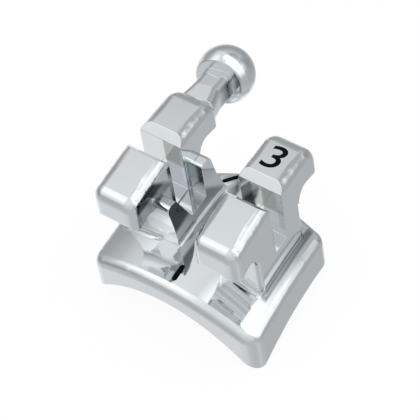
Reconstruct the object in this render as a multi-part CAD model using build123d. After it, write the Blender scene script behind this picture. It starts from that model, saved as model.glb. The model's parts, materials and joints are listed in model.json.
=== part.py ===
from build123d import *
import os
from math import radians, sin, sqrt, tan

# One-piece twin orthodontic bracket for an upper right canine, with a ball hook.
#
# Frame while modelling: the slot frame. X runs along the archwire slot towards mesial, Y towards
# gingival, Z away from the tooth. Z = 0 is the level of the slot's edges below their chamfers. The
# finished solid is moved so that the origin is the middle of the bonding surface.

# Whole bracket, millimetres and degrees
TIP_ANGLE = 11.0  # the long axis of the tooth leans this far towards distal
MESIAL_FLANK = 1.77  # middle of the bracket to the outer flank of each wing pair
DISTAL_FLANK = 1.80
INNER_HALF_GAP = 0.73  # middle of the bracket to the inner flank of a wing pair

# Archwire slot
SLOT_WIDTH = 0.46
SLOT_DEPTH = 1.09
LEAD_IN = 0.17  # 45 degree chamfer on both edges of the slot

# Wings, in the section across the slot
WING_REACH = 1.65  # slot middle to the end of a wing
WING_CROWN_RADIUS = 14.0
WING_TOP = 0.18  # crown of the wings above the slot's edges
TIE_UNDERSIDE = 0.43  # how far the roof of the tie-wire groove lies below the slot's edges
GINGIVAL_TIP_DROP = 0.15  # the end of a wing reaches this much lower than that roof
OCCLUSAL_TIP_DROP = 0.21
OCCLUSAL_TIP_ROUNDING = 0.24
GINGIVAL_TIP_ROUNDING = 0.42
TIP_LOWER_ROUNDING = 0.14
GROOVE_ROUNDING = 0.28
GINGIVAL_WAIST = 0.82
OCCLUSAL_WAIST = 0.89
MESIAL_SHOULDER = 0.2  # rounding of the outer flanks over the tops and ends of the wings
DISTAL_SHOULDER = 0.26
INNER_SHOULDER = 0.21
STEM_EDGE_ROUNDING = 0.1

# Central rib beside the distal pair, in the same section
RIB_FACE = -0.30  # its mesial face, measured like the flanks
RIB_LIP_LEVEL = -0.34
RIB_LIP_ROUNDING = 0.07
RIB_DISTAL_FACE = -1.04  # buried in the distal stem
RIB_FLOOR_LEVEL = -1.12
RIB_SLOT_HALF_WIDTH = 0.29
RIB_SLOT_FLARE = 0.42  # how much wider its slot opens towards the occlusal lip
RIB_GINGIVAL_REACH = 0.62
RIB_GINGIVAL_KNEE = (0.77, -0.96)  # below it the gingival end slopes out to the pad
RIB_GINGIVAL_FOOT = (1.02, -1.57)
RIB_OCCLUSAL_REACH = 1.04
RIB_OCCLUSAL_LIP_DROP = 0.08
RIB_OCCLUSAL_KNEE = (-0.93, -0.85)
RIB_OCCLUSAL_KNEE_ROUNDING = 0.3
RIB_OCCLUSAL_HEEL = -1.2  # from here down it is flush with the stem

# Ball hook on the distal gingival wing
HOOK_LINE = -1.22  # where the hook leaves, measured like the flanks
BALL_RADIUS = 0.62
BALL_DISTANCE = 2.77  # slot middle to ball centre, along Y
BALL_DEPTH = 0.41  # ball centre below the slot's edges
BALL_FLAT = 0.30  # from the ball's centre to its flat underside
BALL_EDGE_ROUNDING = 0.04
NECK_WIDTH = 0.66
NECK_HEIGHT = 0.64
NECK_ROUNDING = 0.2
NECK_SLOPE = 4.7  # degrees, the neck dips towards the ball
NECK_ROOT_WIDTH = 0.84  # the neck widens sideways into the end of the wing
NECK_ROOT_HEIGHT = 0.56
NECK_ROOT_INSET = 0.14  # it is widest this far inside the wing's end
NECK_FLARE_REACH = 0.28  # and has its own width from this far beyond it

# Bonding pad
PAD_MIDDLE = -0.4025  # middle of the bonding surface along the tooth, from the slot's middle
PAD_DISTAL_SIDE = 2.04  # both measured like the flanks
PAD_MESIAL_SIDE = 2.10
PAD_OCCLUSAL_EDGE = 1.865
PAD_APEX = 1.67  # the gingival edge rises to a rounded gable on the middle line
PAD_APEX_ROUNDING = 0.8
PAD_MESIAL_END = 1.14  # from there it comes down to here at the mesial side
PAD_MESIAL_KNEE = (1.2, 1.28)  # flatter from this point on
PAD_DISTAL_KNEE = 1.08  # on the other side it is level from this far out
PAD_KNEE_ROUNDING = 0.5
PAD_DISTAL_END = 1.16
PAD_CORNER_RADIUS = 0.30
PAD_RIM_ROUNDING = 0.2
PAD_TOP_LEVEL = -1.37
PAD_TOP_ARCH = 6.0
PAD_TOP_BARREL = 12.0
BOND_LEVEL = -1.73
ROOT_DEPTH = 1.0  # the stems are carried this far into the pad before it is hollowed
TORQUE = 0.8  # degrees, the bonding surface against the slot
BOND_LEAN = 8.5  # degrees, the axis of the hollow against the slot's normal
BOND_ARCH = 3.36  # mesio-distal radius of the bonding surface
BOND_BARREL = 7.4  # its radius along the tooth
STEM_FOOT_BLEND = 0.1
RIB_FOOT_BLEND = 0.07

# Undercut grooves in the bonding surface, which key the adhesive
KEY_GROOVES = 5
KEY_GROOVE_WIDTH = 0.26
KEY_GROOVE_DEPTH = 0.13
KEY_GROOVE_PITCH = 0.62
KEY_MARGIN = 0.34

LEAN = -tan(radians(TIP_ANGLE))
PAD_CENTRE = (PAD_MESIAL_SIDE - PAD_DISTAL_SIDE) / 2
SECTION = Plane.YZ  # local x is gingival, local y is away from the tooth
TALL = 6.0  # longer than the part in any direction


def leaning_x(flank, y):
    """X of a flank plane at a height y along the tooth."""
    return flank + LEAN * y


def rounded_outline(corners):
    """A face from (x, y, radius) corners, each rounded by a tangent arc."""
    outline = []
    for before, corner, after in zip(corners[-1:] + corners[:-1], corners, corners[1:] + corners[:1]):
        outline.append(corner_arc(before, corner, after))
    edges = []
    for arc, following in zip(outline, outline[1:] + outline[:1]):
        if len(arc) == 3:
            edges.append(ThreePointArc(*arc))
        edges.append(Line(arc[-1], following[0]))
    return make_face(Wire(edges))


def rounded_section(corners):
    """The same for (y, z, radius) corners of a section across the slot."""
    return SECTION * rounded_outline(corners)


def corner_arc(before, corner, after):
    """Start, middle and end of the arc that rounds a corner, or the sharp corner alone."""
    point = Vector(corner[0], corner[1])
    radius = corner[2]
    if not radius:
        return [point]
    to_before = (Vector(before[0], before[1]) - point).normalized()
    to_after = (Vector(after[0], after[1]) - point).normalized()
    bisector = (to_before + to_after).normalized()
    half = radians(to_before.get_angle(to_after)) / 2
    cut = radius / tan(half)
    middle = point + bisector * (radius / sin(half) - radius)
    return [point + to_before * cut, middle, point + to_after * cut]


def leaning_block(low, high):
    """A tall block between two flank planes that lean with the tooth."""
    ends = ((low, -TALL), (high, -TALL), (high, TALL), (low, TALL))
    outline = [(leaning_x(flank, y), y) for flank, y in ends]
    return extrude(Plane.XY.offset(-TALL) * make_face(Polyline(*outline, close=True)), 2 * TALL)


def between_flanks(section, low, high):
    return extrude(section, TALL / 2, both=True) & leaning_block(low, high)


def wing_section(lower_rounding):
    """The two wings, their tie grooves and the stem, without the slot."""
    root = PAD_TOP_LEVEL - ROOT_DEPTH
    roof = -TIE_UNDERSIDE
    high = WING_TOP + 0.5
    return rounded_section([(WING_REACH, high, 0),
                            (WING_REACH, roof - GINGIVAL_TIP_DROP, lower_rounding),
                            (GINGIVAL_WAIST, roof, GROOVE_ROUNDING),
                            (GINGIVAL_WAIST, root, 0),
                            (-OCCLUSAL_WAIST, root, 0),
                            (-OCCLUSAL_WAIST, roof, GROOVE_ROUNDING),
                            (-WING_REACH, roof - OCCLUSAL_TIP_DROP, lower_rounding),
                            (-WING_REACH, high, 0)])


def crown():
    """The shallow cylinder that the tops of the wings lie on."""
    disc = SECTION * Pos(0, WING_TOP - WING_CROWN_RADIUS) * Circle(WING_CROWN_RADIUS)
    return extrude(disc, TALL / 2, both=True)


def wing_pair(outer, inner, outer_shoulder):
    """Two wings and their stem, with rounded shoulders and the slot cut through."""
    low, high = sorted((outer, inner))
    pair = between_flanks(wing_section(0), low, high) & crown()
    pair = fillet(tip_edge(pair, WING_REACH), GINGIVAL_TIP_ROUNDING)
    pair = fillet(tip_edge(pair, -WING_REACH), OCCLUSAL_TIP_ROUNDING)
    pair = fillet(shoulder_edges(pair, outer), outer_shoulder)
    pair = fillet(shoulder_edges(pair, inner), INNER_SHOULDER)
    pair = pair & extrude(wing_section(TIP_LOWER_ROUNDING), TALL / 2, both=True)
    return pair - stem_corners(low, high) - slot()


def tip_edge(pair, reach):
    """The long upper edge at the end of one wing."""
    tip = crown_height(reach)
    return [edge for edge in pair.edges()
            if abs(edge.center().Z - tip) < 0.01 and abs(edge.center().Y - reach) < 0.01]


def shoulder_edges(pair, flank):
    """The edges of one flank along the tops and the ends of the wings."""
    roof = -TIE_UNDERSIDE
    chosen = []
    for edge in pair.edges():
        middle = edge @ 0.5
        on_flank = abs(middle.X - leaning_x(flank, middle.Y)) < 1e-3
        if on_flank and middle.Z > roof and abs(middle.Y) < WING_REACH + 0.01 and edge_is_outside(middle):
            chosen.append(edge)
    return chosen


def stem_corners(low, high):
    """What comes off the four upright corners of a stem below its tie grooves."""
    outline = [(leaning_x(flank, y), y) for flank, y in
               ((low, -OCCLUSAL_WAIST), (high, -OCCLUSAL_WAIST), (high, GINGIVAL_WAIST), (low, GINGIVAL_WAIST))]
    top = -TIE_UNDERSIDE - GROOVE_ROUNDING
    sharp = extrude(Plane.XY.offset(top) * make_face(Polyline(*outline, close=True)), -TALL)
    return sharp - fillet(sharp.edges().filter_by(Axis.Z), STEM_EDGE_ROUNDING)


def edge_is_outside(middle):
    return middle.Z > crown_height(middle.Y) - 0.01 or abs(middle.Y) > WING_REACH - 0.2


def crown_height(y):
    return WING_TOP - WING_CROWN_RADIUS + sqrt(WING_CROWN_RADIUS**2 - y**2)


def slot():
    half = SLOT_WIDTH / 2
    over = 1.0
    edge = crown_height(half)
    section = rounded_section([(-half, -SLOT_DEPTH, 0),
                               (half, -SLOT_DEPTH, 0),
                               (half, edge - LEAD_IN, 0),
                               (half + over, edge - LEAD_IN + over, 0),
                               (-half - over, edge - LEAD_IN + over, 0),
                               (-half, edge - LEAD_IN, 0)])
    return extrude(section, TALL / 2, both=True)


def rib():
    """The lower web beside the distal pair, with its own wider slot."""
    root = PAD_TOP_LEVEL - ROOT_DEPTH
    lip = RIB_LIP_LEVEL
    floor = RIB_FLOOR_LEVEL
    half = RIB_SLOT_HALF_WIDTH
    section = rounded_section([(RIB_GINGIVAL_FOOT[0], root, 0),
                               (*RIB_GINGIVAL_FOOT, 0),
                               (*RIB_GINGIVAL_KNEE, 0),
                               (RIB_GINGIVAL_REACH, lip, RIB_LIP_ROUNDING * 2),
                               (half, lip, RIB_LIP_ROUNDING),
                               (half, floor, 0),
                               (-half, floor, 0),
                               (-half - RIB_SLOT_FLARE, lip, RIB_LIP_ROUNDING),
                               (-RIB_OCCLUSAL_REACH, lip + RIB_OCCLUSAL_LIP_DROP, RIB_LIP_ROUNDING * 1.5),
                               (*RIB_OCCLUSAL_KNEE, RIB_OCCLUSAL_KNEE_ROUNDING),
                               (-OCCLUSAL_WAIST, RIB_OCCLUSAL_HEEL, 0),
                               (-OCCLUSAL_WAIST, root, 0)])
    return between_flanks(section, RIB_DISTAL_FACE, RIB_FACE)


def barrel(level, arch, along, lean=TIP_ANGLE, torque=0.0):
    """A body whose upper side is a barrel around the long axis of the tooth."""
    arc = ThreePointArc((-arch, level - arch), (0, level), (arch, level - arch))
    skirt = Polyline((arch, level - arch), (arch, level - along), (-arch, level - along),
                     (-arch, level - arch))
    face = Plane.XZ * make_face(Wire([arc] + list(skirt.edges())))
    solid = revolve(face, Axis((0, 0, level - along), (1, 0, 0)), 360)
    middle = Pos(leaning_x(PAD_CENTRE, PAD_MIDDLE), PAD_MIDDLE, 0)
    return middle * Rot(torque, 0, 0) * Rot(0, 0, lean) * solid


def pad_outline(margin=0.0):
    """The pad seen from the front: straight occlusal edge, gabled gingival one."""
    low, high = margin - PAD_DISTAL_SIDE, PAD_MESIAL_SIDE - margin
    front, apex = margin - PAD_OCCLUSAL_EDGE, PAD_APEX - margin
    mesial, distal = PAD_MESIAL_END - margin, PAD_DISTAL_END - margin
    knee = PAD_MESIAL_KNEE
    corners = [(high, front, PAD_CORNER_RADIUS),
               (high, mesial, PAD_CORNER_RADIUS),
               (knee[0], knee[1] - margin, PAD_KNEE_ROUNDING),
               (0, apex, PAD_APEX_ROUNDING),
               (-PAD_DISTAL_KNEE, distal, PAD_KNEE_ROUNDING),
               (low, distal, PAD_CORNER_RADIUS),
               (low, front, PAD_CORNER_RADIUS)]
    return rounded_outline([(leaning_x(flank, y), y, radius) for flank, y, radius in corners])


def pad():
    """The upper side and the rim of the bonding pad, not yet hollowed for the tooth."""
    block = extrude(Plane.XY.offset(-TALL) * pad_outline(), TALL)
    block = block & barrel(PAD_TOP_LEVEL, PAD_TOP_ARCH, PAD_TOP_BARREL)
    top = block.faces().sort_by(Axis.Z)[-1]
    return fillet(top.edges(), PAD_RIM_ROUNDING)


def keys():
    """Grooves across the bonding surface, short of the pad's rim."""
    layer = extrude(Plane.XY.offset(-TALL) * pad_outline(KEY_MARGIN), TALL)
    layer = layer & barrel(BOND_LEVEL + KEY_GROOVE_DEPTH, BOND_ARCH + KEY_GROOVE_DEPTH,
                           BOND_BARREL + KEY_GROOVE_DEPTH, BOND_LEAN, TORQUE)
    bars = [Pos(0, PAD_MIDDLE + (i - (KEY_GROOVES - 1) / 2) * KEY_GROOVE_PITCH, -TALL / 2)
            * Box(2 * TALL, KEY_GROOVE_WIDTH, TALL) for i in range(KEY_GROOVES)]
    return [layer & bar for bar in bars]


def hook():
    """The ball hook with its neck, which leaves the end of the distal gingival wing."""
    centre = Vector(leaning_x(HOOK_LINE, BALL_DISTANCE), BALL_DISTANCE, -BALL_DEPTH)
    run = Vector(LEAN, 1, -tan(radians(NECK_SLOPE))).normalized()
    across = Plane(origin=centre, x_dir=Vector(1, -LEAN, 0), z_dir=run)
    ball = Pos(*centre) * Sphere(BALL_RADIUS)
    ball = ball & across.offset(-BALL_FLAT) * Pos(0, 0, TALL / 2) * Box(TALL, TALL, TALL)
    rim = ball.edges().sort_by_distance(centre - run * BALL_RADIUS)[0]
    ball = fillet(rim, BALL_EDGE_ROUNDING)
    start = WING_REACH + NECK_FLARE_REACH - BALL_DISTANCE
    root = WING_REACH - NECK_ROOT_INSET - BALL_DISTANCE
    bar = RectangleRounded(NECK_WIDTH, NECK_HEIGHT, NECK_ROUNDING)
    foot = RectangleRounded(NECK_ROOT_WIDTH, NECK_ROOT_HEIGHT, NECK_ROUNDING)
    neck = extrude(across * bar, start)
    return ball + neck + loft([across.offset(start) * bar, across.offset(root) * foot])


def bracket():
    base = pad()
    distal = wing_pair(-DISTAL_FLANK, -INNER_HALF_GAP, DISTAL_SHOULDER)
    mesial = wing_pair(MESIAL_FLANK, INNER_HALF_GAP, MESIAL_SHOULDER)
    body = distal + mesial + base
    body = fillet(foot_edges(body, base), STEM_FOOT_BLEND)
    body = body + rib()
    body = fillet([edge for edge in foot_edges(body, base) if on_rib_face(edge)], RIB_FOOT_BLEND)
    body = body - barrel(BOND_LEVEL, BOND_ARCH, BOND_BARREL, BOND_LEAN, TORQUE) - keys()
    return body + hook()


def foot_edges(body, base):
    """Where the stems and the rib stand on the pad."""
    top = base.faces().sort_by(Axis.Z)[-1]
    return [edge for edge in body.edges()
            if edge not in base.edges() and max(top.distance_to(edge @ t) for t in (0.1, 0.5, 0.9)) < 1e-3]


def on_rib_face(edge):
    middle = edge @ 0.5
    return abs(middle.X - leaning_x(RIB_FACE, middle.Y)) < 1e-3


body = bracket()
body = Pos(-leaning_x(PAD_CENTRE, PAD_MIDDLE), -PAD_MIDDLE, -BOND_LEVEL) * body
body.label = "bracket_body"
os.makedirs("parts", exist_ok=True)
export_step(body, "parts/bracket_body.step")
print(len(body.solids()), round(body.volume, 3), body.bounding_box())
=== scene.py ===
# %% [markdown]
# A twin orthodontic bracket in polished steel
#
# A bracket of this kind is one small part, about five millimetres long, that is moulded from metal
# powder and tumbled until every edge shines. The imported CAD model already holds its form, so this
# script dresses that model: a mirror-like steel, a tooth number, two painted marks, and a bright
# studio to reflect.
# Everything is in metres, in the frame of the CAD model: +X runs along the wire slot towards
# mesial, +Y towards gingival, where the hook points, and +Z away from the tooth.

import json
import math

import bmesh
import bpy
from mathutils import Matrix, Vector
from mathutils.bvhtree import BVHTree


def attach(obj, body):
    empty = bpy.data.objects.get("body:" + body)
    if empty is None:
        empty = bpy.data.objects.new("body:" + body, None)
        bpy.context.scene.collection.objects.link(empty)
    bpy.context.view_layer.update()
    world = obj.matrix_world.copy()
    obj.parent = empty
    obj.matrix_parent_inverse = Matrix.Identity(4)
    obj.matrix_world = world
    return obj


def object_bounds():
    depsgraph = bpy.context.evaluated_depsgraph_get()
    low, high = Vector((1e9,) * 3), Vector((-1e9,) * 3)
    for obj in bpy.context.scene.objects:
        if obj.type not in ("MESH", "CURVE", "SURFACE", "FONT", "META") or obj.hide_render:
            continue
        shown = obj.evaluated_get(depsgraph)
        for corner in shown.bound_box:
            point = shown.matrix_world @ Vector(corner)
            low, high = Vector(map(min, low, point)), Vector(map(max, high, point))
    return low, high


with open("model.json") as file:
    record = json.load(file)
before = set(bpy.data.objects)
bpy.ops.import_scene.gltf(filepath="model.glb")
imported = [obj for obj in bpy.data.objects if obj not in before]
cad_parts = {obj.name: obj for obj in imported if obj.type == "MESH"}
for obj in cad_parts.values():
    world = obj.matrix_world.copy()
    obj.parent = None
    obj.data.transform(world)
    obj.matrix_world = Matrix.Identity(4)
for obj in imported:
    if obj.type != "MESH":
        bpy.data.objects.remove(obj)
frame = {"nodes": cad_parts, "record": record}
cad_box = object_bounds()
steel_body = frame["nodes"]["bracket_body"]
MM = 0.001
print("bracket box", cad_box)


# %% [markdown]
# Helpers for materials
#
# Each finish is a node tree. It could be drawn in the shader editor and saved with the file, but
# a script that builds it can be read and run again. Two small helpers keep the cells below short:
# one makes an empty Principled material, the other adds a node and sets its values by name. A Mix
# node has sockets called A, B and Result for numbers, vectors and colours alike, so the colour ones
# are found by their place in the list.

# %% Material helpers
MIX_UNDER, MIX_OVER, MIX_RESULT = 6, 7, 2


def new_material(name):
    material = bpy.data.materials.new(name)
    material.use_nodes = True
    return material, material.node_tree.nodes["Principled BSDF"]


def add_node(material, kind, **values):
    """Add a node. A value goes to the input of that name, or else to the node's own setting."""
    node = material.node_tree.nodes.new(kind)
    for key, value in values.items():
        if key in node.inputs:
            node.inputs[key].default_value = value
        else:
            setattr(node, key, value)
    return node


steel, steel_shader = new_material("polished_steel")
steel_links = steel.node_tree.links
steel_shader.inputs["Metallic"].default_value = 1.0
print(steel.name, "starts with", len(steel.node_tree.nodes), "nodes")

# %% [markdown]
# Polished steel
#
# Barrel-tumbled stainless steel is nearly a mirror, yet never perfectly even: it is a touch duller
# in some places than in others. A perfectly even mirror looks like a toy, and an image of smudges
# would need the mesh unwrapped. Slow noise in the object's own coordinates changes the gloss, and
# the pattern stays put on the metal from every side.

# %% Cloudy polish
CLOUDS_PER_METRE = 900.0
MIRROR_ROUGHNESS = 0.04
CLOUDED_ROUGHNESS = 0.10

coords = add_node(steel, "ShaderNodeTexCoord")
place = coords.outputs["Object"]
facing = coords.outputs["Normal"]
clouds = add_node(steel, "ShaderNodeTexNoise", Scale=CLOUDS_PER_METRE, Detail=3.0)
gloss = add_node(steel, "ShaderNodeMapRange",
                 **{"To Min": MIRROR_ROUGHNESS, "To Max": CLOUDED_ROUGHNESS})
steel_links.new(place, clouds.inputs["Vector"])
steel_links.new(clouds.outputs["Fac"], gloss.inputs["Value"])
steel_links.new(gloss.outputs["Result"], steel_shader.inputs["Roughness"])
print("clouds about", round(1 / CLOUDS_PER_METRE / MM, 1), "mm across")

# %% [markdown]
# Soft edges and orange-peel
#
# Tumbling rounds every edge by a few hundredths of a millimetre, and the mould leaves a very
# shallow orange-peel. Rounding all the edges of the mesh would change the CAD part, so the Bevel
# node bends only the normals that the light sees, and a faint bump lies on top of it.

# %% Edges and peel
EDGE_WEAR = 0.02 * MM
EDGE_SAMPLES = 8
PEEL_PER_METRE = 2600.0
PEEL_DEPTH = 0.01 * MM
PEEL_STRENGTH = 0.02

edge = add_node(steel, "ShaderNodeBevel", samples=EDGE_SAMPLES, Radius=EDGE_WEAR)
peel = add_node(steel, "ShaderNodeTexNoise", Scale=PEEL_PER_METRE, Detail=1.0)
bump = add_node(steel, "ShaderNodeBump", Strength=PEEL_STRENGTH, Distance=PEEL_DEPTH)
steel_links.new(place, peel.inputs["Vector"])
steel_links.new(peel.outputs["Fac"], bump.inputs["Height"])
steel_links.new(edge.outputs["Normal"], bump.inputs["Normal"])
steel_links.new(bump.outputs["Normal"], steel_shader.inputs["Normal"])
print("edges worn to", round(EDGE_WEAR / MM, 3), "mm")


# %% [markdown]
# Painted light in the steel
#
# The slot walls and the undersides of the wings are painted bright as painted reflections, and the
# trough and two corners are painted dark as painted shade. One photograph can't tell a finish from
# a reflection, and part of this is surely reflection, so these tones are a guess. The bracket is
# one mesh, so each tone needs a mask. It could be painted on a UV map by hand. Here it is worked
# out from where a point lies and which way it faces, which needs no unwrapping and lets a tone end
# where the metal turns away. A mask is a few soft steps, multiplied together, and its distances
# start from the wire slot, which the CAD model names as a mount.

# %% Masks from place and facing
SLOT_RISE = 0.55 * MM  # from the middle of the wire up to the slot's edges
mounts = {mount["name"]: Vector(mount["pos_m"]) for mount in frame["record"]["mounts"]}
SLOT_MIDDLE = mounts["archwire_slot"] + Vector((0.0, 0.0, SLOT_RISE))
ACROSS = (1.0, 0.194, 0.0)  # mesial, square to the flanks, which lean with the tooth
GINGIVAL = (0.0, 1.0, 0.0)
OCCLUSAL = (0.0, -1.0, 0.0)
OUTWARD = (0.0, 0.0, 1.0)
TOOTHWARD = (0.0, 0.0, -1.0)


def soft_step(vector, direction, none, full):
    """0 at none and 1 at full, measured along a direction from a vector output."""
    along = add_node(steel, "ShaderNodeVectorMath", operation="DOT_PRODUCT")
    along.inputs[1].default_value = direction
    step = add_node(steel, "ShaderNodeMapRange", **{"From Min": none, "From Max": full})
    steel_links.new(vector, along.inputs[0])
    steel_links.new(along.outputs["Value"], step.inputs["Value"])
    return step.outputs["Result"]


def faces(direction, none, full):
    """The metal that faces a direction: none and full are cosines of the angle to it."""
    return soft_step(facing, direction, none, full)


def lies(direction, none, full):
    """The metal past a distance along a direction, in mm from the slot's middle.

    With full below none, it is the metal on the near side of that distance.
    """
    start = SLOT_MIDDLE.dot(Vector(direction))
    return soft_step(place, direction, start + none * MM, start + full * MM)


def all_of(first, *others):
    """Every mask multiplied together."""
    together = first
    for mask in others:
        product = add_node(steel, "ShaderNodeMath", operation="MULTIPLY")
        steel_links.new(together, product.inputs[0])
        steel_links.new(mask, product.inputs[1])
        together = product.outputs[0]
    return together


print("slot middle", [round(c / MM, 3) for c in SLOT_MIDDLE], "mm")


# %% [markdown]
# Coats of colour
#
# The tones lie over each other like coats of paint. One Mix node can be chained to the next by
# hand, and a helper does just that. The first coat is the steel itself: the same slow clouds that
# change its gloss take it from a cooler to a warmer grey.

# %% First coat
COOL_STEEL = (0.74, 0.775, 0.80)
WARM_STEEL = (0.79, 0.81, 0.82)


def layer(mask, under, over):
    """Lay one colour over another where the mask says. A colour is a tuple or an output."""
    coat = add_node(steel, "ShaderNodeMix", data_type="RGBA")
    steel_links.new(mask, coat.inputs["Factor"])
    for socket, tone in ((coat.inputs[MIX_UNDER], under), (coat.inputs[MIX_OVER], over)):
        if isinstance(tone, tuple):
            socket.default_value = (*tone, 1.0)
        else:
            steel_links.new(tone, socket)
    return coat.outputs[MIX_RESULT]


colour = layer(clouds.outputs["Fac"], COOL_STEEL, WARM_STEEL)
print("first coat done,", len(steel.node_tree.nodes), "nodes")

# %% [markdown]
# The slot walls
#
# The gingival walls of the wire slot are painted brighter than the metal round them, and their
# upper part olive: both are painted reflections. They could be a piece of their own with another
# material, but a real slot has no seam, so they are one more layer of colour.

# %% Slot walls
# painted reflections: the slot walls lighter, and olive in their upper part
PAINTED_SLOT_REFLECTION = (0.90, 0.91, 0.92)
PAINTED_OLIVE_REFLECTION = (0.60, 0.60, 0.56)

slot_mouth = all_of(lies(ACROSS, none=-1.21, full=-1.19),
                    lies(OUTWARD, none=-0.53, full=-0.51))
slot_walls = all_of(faces(OCCLUSAL, none=0.9, full=0.98),
                    lies(GINGIVAL, none=0.20, full=0.22),
                    lies(GINGIVAL, none=0.26, full=0.24))
colour = layer(slot_walls, colour, layer(slot_mouth, PAINTED_SLOT_REFLECTION, PAINTED_OLIVE_REFLECTION))
print("slot walls done,", len(steel.node_tree.nodes), "nodes")

# %% [markdown]
# Painted shade in hollow corners
#
# Where the mesial stem stands on the pad, and on the side of the hook's neck close under the ball,
# the metal is painted dark as painted shade. A dark card in the studio would darken other places
# too, so the shade is painted in just those places.

# %% Stem foot and neck
# painted shade: darker metal at the stem's foot and under the ball
PAINTED_STEM_FOOT_SHADE = (0.28, 0.31, 0.33)
PAINTED_NECK_SHADE = (0.14, 0.15, 0.16)
UP_THE_STEM_FOOT = (0.63, 0.12, 0.77)  # the way the blend between the stem and the pad faces

stem_foot = all_of(faces(UP_THE_STEM_FOOT, none=0.84, full=0.92),
                   lies(ACROSS, none=1.72, full=1.75),
                   lies(ACROSS, none=1.89, full=1.85),
                   lies(GINGIVAL, none=-1.0, full=-0.9),
                   lies(OUTWARD, none=-1.2, full=-1.3))
neck_side = all_of(faces(ACROSS, none=0.78, full=0.97),
                   lies(GINGIVAL, none=2.00, full=2.34),
                   lies(GINGIVAL, none=2.56, full=2.36))
colour = layer(stem_foot, colour, PAINTED_STEM_FOOT_SHADE)
colour = layer(neck_side, colour, PAINTED_NECK_SHADE)
print("corners done,", len(steel.node_tree.nodes), "nodes")

# %% [markdown]
# Painted reflection on the undersides
#
# The undersides of the wings and the occlusal faces of the stems below them are painted bright, a
# painted reflection of the white table. A lamp under the wings would light the pad as well, so the
# metal itself is painted brighter there, and it fills the grooves beside it with light.

# %% Undersides and stem fronts
# painted reflection of the white table on the undersides
PAINTED_TABLE_REFLECTION = (0.96, 0.97, 0.975)

wing_undersides = all_of(faces(TOOTHWARD, none=0.25, full=0.6),
                         lies(OUTWARD, none=-1.3, full=-1.2))
stem_fronts = all_of(faces(OCCLUSAL, none=0.85, full=0.98),
                     lies(OCCLUSAL, none=0.80, full=0.85),
                     lies(TOOTHWARD, none=0.45, full=0.60),
                     lies(OCCLUSAL, none=1.2, full=1.1))
colour = layer(wing_undersides, colour, PAINTED_TABLE_REFLECTION)
colour = layer(stem_fronts, colour, PAINTED_TABLE_REFLECTION)
print("undersides done,", len(steel.node_tree.nodes), "nodes")

# %% [markdown]
# Painted shade in the trough
#
# Between the wing pairs lies a trough only a millimetre wide. Its distal walls and the rib's own
# slot wall are painted dark as painted shade, nearly black on the upper rib and under the wings,
# and paler lower down. Ambient occlusion would find such hollows by itself, but it also darkens the
# slot and the pad, so the walls are picked out one by one.

# %% Trough walls
# painted shade: grey in the trough, nearly black on the upper rib and under the wings
PAINTED_TROUGH_SHADE = (0.33, 0.36, 0.38)
PAINTED_DEEP_SHADE = (0.045, 0.05, 0.055)
RIB_SLANT = (0.0, -0.1, 1.0)  # the black part's lower edge rises a little towards gingival
TROUGH_SLANT = (0.0, 1.0, 1.2)  # at the occlusal end the painted shade ends along a slanted line

upper_rib = all_of(lies(ACROSS, none=-0.5, full=-0.4),
                   lies(RIB_SLANT, none=-1.0, full=-0.86))
under_wing = lies(OUTWARD, none=-0.28, full=-0.2)
blackest = add_node(steel, "ShaderNodeMath", operation="MAXIMUM")
steel_links.new(upper_rib, blackest.inputs[0])
steel_links.new(under_wing, blackest.inputs[1])
painted_trough_shade = layer(blackest.outputs[0], PAINTED_TROUGH_SHADE, PAINTED_DEEP_SHADE)

rib_slot_wall = all_of(faces(OCCLUSAL, none=0.9, full=0.98),
                       lies(ACROSS, none=-0.76, full=-0.70),
                       lies(ACROSS, none=-0.26, full=-0.29),
                       lies(GINGIVAL, none=0.26, full=0.27),
                       lies(OUTWARD, none=-1.1, full=-0.75))
trough_walls = all_of(faces(ACROSS, none=0.86, full=0.97),
                      lies(ACROSS, none=0.0, full=-0.1),
                      lies(TROUGH_SLANT, none=-0.72, full=-0.86))
colour = layer(rib_slot_wall, colour, painted_trough_shade)
colour = layer(trough_walls, colour, painted_trough_shade)
print("trough done,", len(steel.node_tree.nodes), "nodes")

# %% [markdown]
# Steel on the bracket
#
# The bracket arrives with a plain material from the CAD model. Its mesh isn't touched: the steel
# takes the place of that material in the object's own slot.

# %% Put the steel on the bracket
steel_links.new(colour, steel_shader.inputs["Base Color"])
steel_body.data.materials.clear()
steel_body.data.materials.append(steel)
print(steel.name, "has", len(steel.node_tree.nodes), "nodes")

# %% [markdown]
# Painted marks
#
# The tooth number and two short orientation marks are black paint on the polished metal. On the
# real bracket the paint is a few micrometres thick, so each mark could be an image on the surface,
# but a thin solid that follows the metal is sharper and survives in the exported mesh. Dry paint
# is matt and slightly grainy, so a fine noise changes its colour and its roughness.

# %% Paint
PAINT_GRAINS_PER_METRE = 20000.0
PAINT_BLACK = (0.001, 0.001, 0.001, 1.0)
PAINT_DUSTY = (0.004, 0.004, 0.005, 1.0)
PAINT_SHEEN = 0.06
PAINT_SMOOTHEST = 0.6
PAINT_ROUGHEST = 0.8

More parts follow.
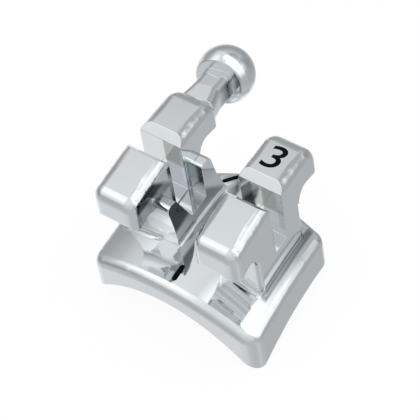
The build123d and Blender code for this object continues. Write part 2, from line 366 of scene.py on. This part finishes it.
paint, paint_shader = new_material("marking_paint")
paint_shader.inputs["Specular IOR Level"].default_value = PAINT_SHEEN
paint_coords = add_node(paint, "ShaderNodeTexCoord")
grain = add_node(paint, "ShaderNodeTexNoise", Scale=PAINT_GRAINS_PER_METRE, Detail=2.0)
black = add_node(paint, "ShaderNodeMix", data_type="RGBA")
black.inputs[MIX_UNDER].default_value = PAINT_BLACK
black.inputs[MIX_OVER].default_value = PAINT_DUSTY
matt = add_node(paint, "ShaderNodeMapRange", **{"To Min": PAINT_SMOOTHEST, "To Max": PAINT_ROUGHEST})
for output, socket in ((paint_coords.outputs["Object"], grain.inputs["Vector"]),
                       (grain.outputs["Fac"], black.inputs["Factor"]),
                       (grain.outputs["Fac"], matt.inputs["Value"]),
                       (black.outputs[MIX_RESULT], paint_shader.inputs["Base Color"]),
                       (matt.outputs["Result"], paint_shader.inputs["Roughness"])):
    paint.node_tree.links.new(output, socket)
print("paint grains", round(1 / PAINT_GRAINS_PER_METRE / MM, 2), "mm across")

# %% [markdown]
# Laying paint on the metal
#
# A mark starts as a flat outline above the bracket. A Shrinkwrap modifier could press it down, but
# the mark also needs a thickness that is closed all round. So the outline is cut finer and
# extruded, and every point is dropped straight down onto the bracket: the upper skin stops a
# little above the metal and the lower skin a little below it.

# %% Laying paint
PAINT_PROUD = 0.008 * MM
PAINT_SUNK = 0.03 * MM
LONGEST_EDGE = 0.1 * MM
ABOVE_BRACKET = 5 * MM
FLAT_ENOUGH = 0.01  # radians, points of the outline that bend less are dropped

metal = BVHTree.FromObject(steel_body, bpy.context.evaluated_depsgraph_get())


def lay_paint(name, outline):
    """Drop a flat outline onto the metal and give it a thickness."""
    bmesh.ops.dissolve_limit(outline, angle_limit=FLAT_ENOUGH, verts=outline.verts, edges=outline.edges)
    bmesh.ops.triangulate(outline, faces=outline.faces)
    long_edges = [e for e in outline.edges if e.calc_length() > LONGEST_EDGE]
    bmesh.ops.subdivide_edges(outline, edges=long_edges, cuts=2)
    low = bmesh.ops.extrude_face_region(outline, geom=outline.faces[:])
    sunk = {part for part in low["geom"] if isinstance(part, bmesh.types.BMVert)}
    for vert in outline.verts:
        above = Vector((vert.co.x, vert.co.y, ABOVE_BRACKET))
        hit = metal.ray_cast(above, Vector(TOOTHWARD))[0]
        vert.co.z = hit.z - PAINT_SUNK if vert in sunk else hit.z + PAINT_PROUD
    bmesh.ops.recalc_face_normals(outline, faces=outline.faces)
    mesh = bpy.data.meshes.new(name)
    outline.to_mesh(mesh)
    outline.free()
    mark = bpy.data.objects.new(name, mesh)
    bpy.context.scene.collection.objects.link(mark)
    mesh.materials.append(paint)
    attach(mark, "root")
    print(name, len(mesh.polygons), "faces")


print("paint", round((PAINT_PROUD + PAINT_SUNK) / MM, 3), "mm deep in all")

# %% [markdown]
# Tooth number
#
# The mesial gingival wing carries the number of the tooth, a plain 3 that leans a little. The
# digit could be drawn as a bent stroke, but Blender's own font already has a good one: the text
# object is turned into a mesh first, and then scaled, turned and moved to its place.

# %% Digit
DIGIT_HEIGHT = 0.63 * MM
DIGIT_STRETCH = 1.15
DIGIT_PLACE = Vector((1.07, 0.90, 0)) * MM  # its middle, from the slot's middle
DIGIT_LEAN = math.radians(6)


def text_outline(words):
    """A text as a flat bmesh in Blender's own font."""
    curve = bpy.data.curves.new("tooth_number", "FONT")
    curve.body = words
    text = bpy.data.objects.new("tooth_number_text", curve)
    bpy.context.scene.collection.objects.link(text)
    flat = bpy.data.meshes.new_from_object(text)
    bpy.data.objects.remove(text)
    outline = bmesh.new()
    outline.from_mesh(flat)
    return outline


digit = text_outline("3")
xs = [v.co.x for v in digit.verts]
ys = [v.co.y for v in digit.verts]
size = DIGIT_HEIGHT / (max(ys) - min(ys))
centre = Vector(((max(xs) + min(xs)) / 2, (max(ys) + min(ys)) / 2, 0))
bmesh.ops.translate(digit, verts=digit.verts, vec=-centre)
bmesh.ops.scale(digit, verts=digit.verts, vec=(size * DIGIT_STRETCH, size, size))
bmesh.ops.rotate(digit, verts=digit.verts, matrix=Matrix.Rotation(DIGIT_LEAN, 3, "Z"))
bmesh.ops.translate(digit, verts=digit.verts, vec=SLOT_MIDDLE + DIGIT_PLACE)
lay_paint("tooth_number", digit)


# %% [markdown]
# Orientation marks
#
# Two short strokes on the pad show the dentist how the bracket sits on the tooth. A stroke with
# round ends is a circle whose two halves are pulled apart.

# %% Strokes on the pad
MARK_WIDTH = 0.105 * MM
MARK_SIDES = 32


def orientation_mark(name, start, end):
    """A stroke between two points of the pad, in mm from the slot's middle."""
    start, end = (SLOT_MIDDLE + Vector((x, y, 0)) * MM for x, y in (start, end))
    along = (end - start).normalized()
    outline = bmesh.new()
    bmesh.ops.create_circle(outline, cap_ends=True, segments=MARK_SIDES, radius=MARK_WIDTH / 2)
    for vert in outline.verts:
        vert.co = vert.co + (end if vert.co.dot(along) > 0 else start)
        vert.co.z = 0
    lay_paint(name, outline)


orientation_mark("front_mark", (0.33, -1.575), (0.285, -1.285))
orientation_mark("rear_mark", (-0.60, 1.10), (-0.44, 1.38))

# %% [markdown]
# The camera
#
# The mild perspective of the photograph is that of a long lens, from above the bracket's mesial
# occlusal corner. The camera could be placed by eye, but the slot, the wings and the pad give
# enough points for a fitting program to work out the values below: where it stands, how it is
# rolled, and how far its axis is from the middle of the picture, which becomes the shift.

# %% Camera
PHOTO = 420.0  # pixels, both ways
FOCAL_PIXELS = 1958.2
AXIS_PIXEL = (203.5, 170.1)  # where the camera's axis meets the photograph
SENSOR = 36.0
CAMERA_DISTANCE = 37.654 * MM
CAMERA_AROUND = 0.814  # radians, from the occlusal side towards mesial
CAMERA_UP = 0.746  # above the plane of the slot
CAMERA_ROLL = -0.179

towards = Vector((math.sin(CAMERA_AROUND) * math.cos(CAMERA_UP),
                  -math.cos(CAMERA_AROUND) * math.cos(CAMERA_UP),
                  math.sin(CAMERA_UP)))
level_right = Vector((math.cos(CAMERA_AROUND), math.sin(CAMERA_AROUND), 0.0))
level_up = towards.cross(level_right)
right = math.cos(CAMERA_ROLL) * level_right + math.sin(CAMERA_ROLL) * level_up
up = math.cos(CAMERA_ROLL) * level_up - math.sin(CAMERA_ROLL) * level_right
camera = bpy.data.objects.new("camera", bpy.data.cameras.new("camera"))
bpy.context.scene.collection.objects.link(camera)
camera.data.lens = FOCAL_PIXELS / PHOTO * SENSOR
camera.data.shift_x = (PHOTO / 2 - AXIS_PIXEL[0]) / PHOTO
camera.data.shift_y = (AXIS_PIXEL[1] - PHOTO / 2) / PHOTO
camera.data.clip_start = 1 * MM
stand = Matrix((right, up, towards)).transposed().to_4x4()
stand.translation = SLOT_MIDDLE + towards * CAMERA_DISTANCE
camera.matrix_world = stand
bpy.context.scene.camera = camera
print("lens", round(camera.data.lens, 1), "mm")

# %% [markdown]
# The light in the dome
#
# Polished metal shows what stands round it, so its look is made by the studio. Soft boxes and
# cards could be modelled, but the world itself can hold them: each one is a round patch of the
# dome that fades out at its edge.

# %% A patch of light
world = bpy.data.worlds.new("studio")
bpy.context.scene.world = world
world.use_nodes = True
dome = world.node_tree
dome_direction = dome.nodes.new("ShaderNodeTexCoord").outputs["Generated"]


def dome_maths(operation, first, second):
    """A Math node in the dome. Each value is a number or an output."""
    node = dome.nodes.new("ShaderNodeMath")
    node.operation = operation
    for socket, value in zip(node.inputs, (first, second)):
        if isinstance(value, float):
            socket.default_value = value
        else:
            dome.links.new(value, socket)
    return node.outputs[0]


def soft_patch(azimuth, elevation, full, edge, gain):
    """How much one patch adds: all of its gain in the middle, nothing past its edge."""
    azimuth, elevation, full, edge = (math.radians(angle) for angle in (azimuth, elevation, full, edge))
    nearness = dome.nodes.new("ShaderNodeVectorMath")
    nearness.operation = "DOT_PRODUCT"
    nearness.inputs[1].default_value = (math.cos(elevation) * math.cos(azimuth),
                                        math.cos(elevation) * math.sin(azimuth),
                                        math.sin(elevation))
    fade = dome.nodes.new("ShaderNodeMapRange")
    fade.interpolation_type = "SMOOTHSTEP"
    fade.inputs["From Min"].default_value = math.cos(edge)
    fade.inputs["From Max"].default_value = math.cos(full)
    fade.inputs["To Max"].default_value = gain
    dome.links.new(dome_direction, nearness.inputs[0])
    dome.links.new(nearness.outputs["Value"], fade.inputs["Value"])
    return fade.outputs["Result"]


print("world", world.name)

# %% [markdown]
# Where the patches stand
#
# High patches light the tops, the mesial ones give the bright lines along the rounded edges, the
# distal ones fill the trough, low ones are light thrown back by the table, and two dark cards keep
# the flanks grey. They could be set by eye. Here a fitting program chose their places, sizes and
# gains, so that the reflections come near those of the photograph, and they were then rounded to 5
# degrees and 0.05. The names say what each patch does, not what stood in the real room.

# %% Patches of light
DOME_GREY = 0.20
DOME_PATCHES = {  # azimuth from +X, elevation, full and edge radius, all in degrees, and gain
    "sheet overhead": (5, 75, 25, 90, 0.45),
    "mesial part of that sheet": (0, 60, 25, 45, 0.15),
    "lamp, high, mesial gingival": (45, 60, 5, 30, 0.80),
    "small lamp, high, gingival": (105, 70, 0, 15, 0.90),
    "lamp, half height, mesial": (30, 30, 0, 35, 0.90),
    "sheet, half height, distal": (225, 40, 30, 65, 0.20),
    "lamp in front of that sheet": (215, 40, 5, 30, 0.45),
    "lamp, high, distal": (190, 55, 0, 25, 0.50),
    "small lamp, distal gingival": (145, 45, 5, 25, 0.25),
    "dark card, gingival": (80, 50, 15, 20, -0.25),
    "dark card, low, distal": (205, 10, 10, 30, -0.25),
    "table, near mesial": (30, -10, 0, 55, 0.70),
    "shade round that": (30, 0, 25, 55, -0.55),
    "table, gingival": (145, -50, 25, 60, 0.30),
    "table, distal": (190, -55, 5, 70, 0.45),
    "table, occlusal": (310, -25, 25, 75, 0.25)}

light = DOME_GREY
for patch in DOME_PATCHES.values():
    light = dome_maths("ADD", soft_patch(*patch), light)
print(len(DOME_PATCHES), "patches in the dome")

# %% [markdown]
# The white behind the bracket
#
# The photograph's ground is pure white, whatever lights the metal. More light on the bracket would
# burn it out, so Light Path asks what kind of ray looks at the dome: the camera sees plain white,
# matt surfaces are lit by plain white, so that their colours come out as written, and the polished
# metal sees the patches with a share of that white.

# %% Dome and background
WHITE_SHARE = 0.25
DAYLIGHT = (0.975, 0.988, 1.0, 1.0)

patches = dome.nodes["Background"]
patches.inputs["Color"].default_value = DAYLIGHT
dome.links.new(light, patches.inputs["Strength"])
white = dome.nodes.new("ShaderNodeBackground")
white.inputs["Color"].default_value = (1.0, 1.0, 1.0, 1.0)
ray = dome.nodes.new("ShaderNodeLightPath").outputs
mirrored = dome_maths("MAXIMUM", ray["Is Glossy Ray"], ray["Is Transmission Ray"])
plain = dome_maths("MAXIMUM", ray["Is Camera Ray"], ray["Is Diffuse Ray"])
whiteness = dome_maths("ADD", dome_maths("MULTIPLY", mirrored, WHITE_SHARE), plain)
mix = dome.nodes.new("ShaderNodeMixShader")
dome.links.new(whiteness, mix.inputs[0])
dome.links.new(patches.outputs[0], mix.inputs[1])
dome.links.new(white.outputs[0], mix.inputs[2])
dome.links.new(mix.outputs[0], dome.nodes["World Output"].inputs["Surface"])
print("the metal mirrors", WHITE_SHARE, "of the white ground")

# %% [markdown]
# The floor
#
# The bracket lies on a white table and leaves only a faint shadow. A floor of white colour alone
# comes out grey where little light falls, so the camera sees mostly an even white glow, with a
# tenth of the lit floor and its shadow. The floor is hidden from the metal, which already
# mirrors the lower half of the dome.

# %% Floor
FLOOR_HALF_SIZE = 0.2

shape = bmesh.new()
bmesh.ops.create_grid(shape, x_segments=1, y_segments=1, size=FLOOR_HALF_SIZE)
bmesh.ops.translate(shape, verts=shape.verts, vec=(0, 0, cad_box[0][2]))
floor_mesh = bpy.data.meshes.new("floor")
shape.to_mesh(floor_mesh)
shape.free()
floor = bpy.data.objects.new("floor", floor_mesh)
bpy.context.scene.collection.objects.link(floor)
floor.visible_glossy = False
print("floor at", round(cad_box[0][2] / MM, 3), "mm")

# %% Floor finish
FLOOR_GLOW_SHARE = 0.9
FLOOR_GLOW = 1.03
FLOOR_COLOUR = (0.75, 0.75, 0.75, 1.0)
FLOOR_ROUGHNESS = 0.9

table, table_shader = new_material("floor_white")
table_shader.inputs["Base Color"].default_value = FLOOR_COLOUR
table_shader.inputs["Roughness"].default_value = FLOOR_ROUGHNESS
glow = add_node(table, "ShaderNodeEmission", Strength=FLOOR_GLOW)
seen = add_node(table, "ShaderNodeLightPath")
share = add_node(table, "ShaderNodeMath", operation="MULTIPLY")
share.inputs[1].default_value = FLOOR_GLOW_SHARE
blend = add_node(table, "ShaderNodeMixShader")
for output, socket in ((seen.outputs["Is Camera Ray"], share.inputs[0]),
                       (share.outputs[0], blend.inputs[0]),
                       (table_shader.outputs[0], blend.inputs[1]),
                       (glow.outputs[0], blend.inputs[2]),
                       (blend.outputs[0], table.node_tree.nodes["Material Output"].inputs["Surface"])):
    table.node_tree.links.new(output, socket)
floor_mesh.materials.append(table)
print("floor glows", FLOOR_GLOW, "to the camera")

# %% [markdown]
# View transform
#
# Standard view keeps white white: the default one would grey it.

# %% Finish
bpy.context.scene.view_settings.view_transform = "Standard"
